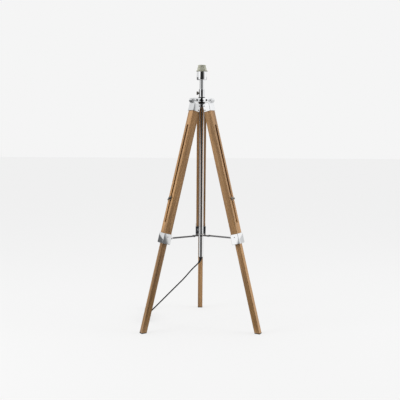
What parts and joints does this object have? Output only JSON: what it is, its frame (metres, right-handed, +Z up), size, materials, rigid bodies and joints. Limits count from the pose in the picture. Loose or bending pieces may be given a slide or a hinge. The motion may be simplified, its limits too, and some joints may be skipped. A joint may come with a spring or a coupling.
{
  "type": "tripod floor lamp",
  "caption": "Wooden tripod floor lamp base with slotted telescopic legs, folding spreader, sliding chrome stem, open screw lampholder and mains lead.",
  "frame": {"origin": "centre of the footprint on the floor, midway between the outermost points of the feet; the column stands 62 mm in front of it, because one leg points straight back", "axes": "+Z up the column, +Y towards the rear leg, -X the side of the stem thumbscrew"},
  "size_m": [0.4716, 0.4084, 1.036],
  "materials": {
    "chrome": "polished chrome plate",
    "dark_metal": "dark bronzed screw metal",
    "upper_wood": "satin mid-brown hardwood, grain along the leg",
    "lower_wood": "satin mid-brown hardwood, grain along the leg",
    "lampholder_plastic": "grey-cream moulded thermoplastic",
    "socket_ceramic": "glazed porcelain contact carrier",
    "contact_brass": "bright brass",
    "foot_rubber": "matt black rubber",
    "cord_sheath": "satin black cable sheath",
    "black_plastic": "fine-textured black plastic",
    "bush_nylon": "natural nylon"
  },
  "bodies": {
    "column": {"hub": "chrome", "hub_lock_ring": "dark_metal", "column_tube": "chrome", "cord_clamp_plug": "black_plastic", "strain_relief": "black_plastic", "stem_sleeve": "chrome", "stem_bush": "bush_nylon", "hinge_bolt_left": "chrome", "hinge_bolt_right": "chrome", "hinge_bolt_rear": "chrome", "cord_lead": "cord_sheath", "cord_hank": "cord_sheath", "cord_tie": "black_plastic", "cord_tail": "cord_sheath", "plug_strain_relief": "black_plastic", "plug_body": "black_plastic", "plug_pin_lower": "contact_brass", "plug_pin_upper": "contact_brass"},
    "stem": {"stem_tube": "chrome", "threaded_nipple": "contact_brass", "nipple_nut": "contact_brass", "inner_flex": "cord_sheath", "lampholder_cup": "chrome", "lampholder_barrel": "lampholder_plastic", "contact_carrier": "socket_ceramic", "screw_shell": "contact_brass", "centre_contact": "contact_brass"},
    "shade_ring": {"shade_ring": "lampholder_plastic"},
    "stem_knob": {"stem_thumbscrew": "dark_metal"},
    "ring": {"spreader_ring": "chrome"},
    "upper_left": {"upper_leg_left_a": "upper_wood", "upper_leg_left_b": "upper_wood", "top_bracket_left": "chrome", "leg_collar_left": "chrome", "rod_pin_left": "chrome"},
    "lower_left": {"lower_leg_left": "lower_wood", "thread_insert_left": "contact_brass", "foot_pad_left": "foot_rubber"},
    "knob_left": {"wing_screw_left": "dark_metal"},
    "rod_left": {"spreader_rod_left": "chrome"},
    "upper_right": {"upper_leg_right_a": "upper_wood", "upper_leg_right_b": "upper_wood", "top_bracket_right": "chrome", "leg_collar_right": "chrome", "rod_pin_right": "chrome"},
    "lower_right": {"lower_leg_right": "lower_wood", "thread_insert_right": "contact_brass", "foot_pad_right": "foot_rubber"},
    "knob_right": {"wing_screw_right": "dark_metal"},
    "rod_right": {"spreader_rod_right": "chrome"},
    "upper_rear": {"upper_leg_rear_a": "upper_wood", "upper_leg_rear_b": "upper_wood", "top_bracket_rear": "chrome", "leg_collar_rear": "chrome", "rod_pin_rear": "chrome"},
    "lower_rear": {"lower_leg_rear": "lower_wood", "thread_insert_rear": "contact_brass", "foot_pad_rear": "foot_rubber"},
    "knob_rear": {"wing_screw_rear": "dark_metal"},
    "rod_rear": {"spreader_rod_rear": "chrome"}
  },
  "joints": [
    {"name": "fold_left", "type": "hinge", "parent": "column", "child": "upper_left", "pos_m": [-0.03594, -0.08305, 0.897], "axis": [0.5, -0.866, 0], "range_deg": [0, 9.5]},
    {"name": "fold_right", "type": "hinge", "parent": "column", "child": "upper_right", "pos_m": [0.03594, -0.08305, 0.897], "axis": [0.5, 0.866, 0], "range_deg": [0, 9.5]},
    {"name": "fold_rear", "type": "hinge", "parent": "column", "child": "upper_rear", "pos_m": [0, -0.0208, 0.897], "axis": [-1, 0, 0], "range_deg": [0, 9.5]},
    {"name": "extend_left", "type": "slide", "parent": "upper_left", "child": "lower_left", "axis": [-0.2168, -0.1252, -0.9681], "range_m": [-0.285, 0.0865]},
    {"name": "wing_turn_left", "type": "hinge", "parent": "lower_left", "child": "knob_left", "pos_m": [-0.11882, -0.13089, 0.51499], "axis": [-0.8384, -0.4841, 0.2504], "range_deg": [0, 270]},
    {"name": "rod_swing_left", "type": "hinge", "parent": "upper_left", "child": "rod_left", "pos_m": [-0.11865, -0.1308, 0.36], "axis": [0.5, -0.866, 0], "range_deg": [0, 73.5]},
    {"name": "extend_right", "type": "slide", "parent": "upper_right", "child": "lower_right", "axis": [0.2168, -0.1252, -0.9681], "range_m": [-0.285, 0.0865]},
    {"name": "wing_turn_right", "type": "hinge", "parent": "lower_right", "child": "knob_right", "pos_m": [0.11882, -0.13089, 0.51499], "axis": [0.8384, -0.4841, 0.2504], "range_deg": [0, 270]},
    {"name": "rod_swing_right", "type": "hinge", "parent": "upper_right", "child": "rod_right", "pos_m": [0.11865, -0.1308, 0.36], "axis": [0.5, 0.866, 0], "range_deg": [0, 73.5]},
    {"name": "extend_rear", "type": "slide", "parent": "upper_rear", "child": "lower_rear", "axis": [0, 0.2504, -0.9681], "range_m": [-0.285, 0.0865]},
    {"name": "wing_turn_rear", "type": "hinge", "parent": "lower_rear", "child": "knob_rear", "pos_m": [0, 0.0749, 0.51499], "axis": [0, 0.9681, 0.2504], "range_deg": [0, 270]},
    {"name": "rod_swing_rear", "type": "hinge", "parent": "upper_rear", "child": "rod_rear", "pos_m": [0, 0.0747, 0.36], "axis": [-1, 0, 0], "range_deg": [0, 73.5]},
    {"name": "ring_slide", "type": "slide", "parent": "column", "child": "ring", "axis": [0, 0, 1], "range_m": [0, 0.0945]},
    {"name": "stem_height", "type": "slide", "parent": "column", "child": "stem", "axis": [0, 0, 1], "range_m": [-0.034, 0.15]},
    {"name": "stem_knob_turn", "type": "hinge", "parent": "column", "child": "stem_knob", "pos_m": [-0.012, -0.0623, 0.926], "axis": [-1, 0, 0], "range_deg": [0, 270]},
    {"name": "shade_ring_lift", "type": "slide", "parent": "stem", "child": "shade_ring", "axis": [0, 0, 1], "range_m": [0, 0.03]}
  ],
  "couplings": [
    {"joint": "fold_right", "follows": "fold_left", "ratio": 1},
    {"joint": "fold_rear", "follows": "fold_left", "ratio": 1},
    {"joint": "ring_slide", "follows": "fold_left", "m_per_rad": 0.56555},
    {"joint": "rod_swing_left", "follows": "fold_left", "ratio": 7.7069},
    {"joint": "rod_swing_right", "follows": "fold_left", "ratio": 7.7069},
    {"joint": "rod_swing_rear", "follows": "fold_left", "ratio": 7.7069}
  ]
}
